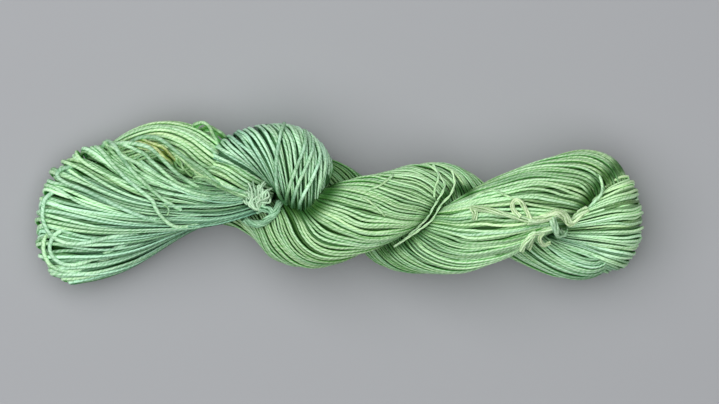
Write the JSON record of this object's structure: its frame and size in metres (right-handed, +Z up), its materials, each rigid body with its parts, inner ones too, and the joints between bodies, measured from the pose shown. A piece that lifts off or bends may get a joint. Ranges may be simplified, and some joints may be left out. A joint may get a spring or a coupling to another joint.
{
  "type": "hank of yarn",
  "caption": "Hank of hand-dyed green linen yarn, twisted and folded like a rope, one end puffed open into a fan of loops, held by short yarn ties.",
  "frame": {"origin": "middle of the hank's plan outline, on the surface it lies on", "axes": "+X along the hank from its open loop to its folded end, +Z up from the surface"},
  "size_m": [0.2458, 0.065, 0.0476],
  "materials": {
    "hank_yarn": "plied linen yarn, mottled green dye, slight sheen",
    "teal_tie_yarn": "loosely twisted yarn, teal green",
    "pale_tie_yarn": "loosely twisted yarn, pale cream green"
  },
  "bodies": {
    "root": {"hank": "hank_yarn", "tie_left": "teal_tie_yarn", "tie_middle": "pale_tie_yarn", "tie_right": "pale_tie_yarn"}
  },
  "joints": []
}
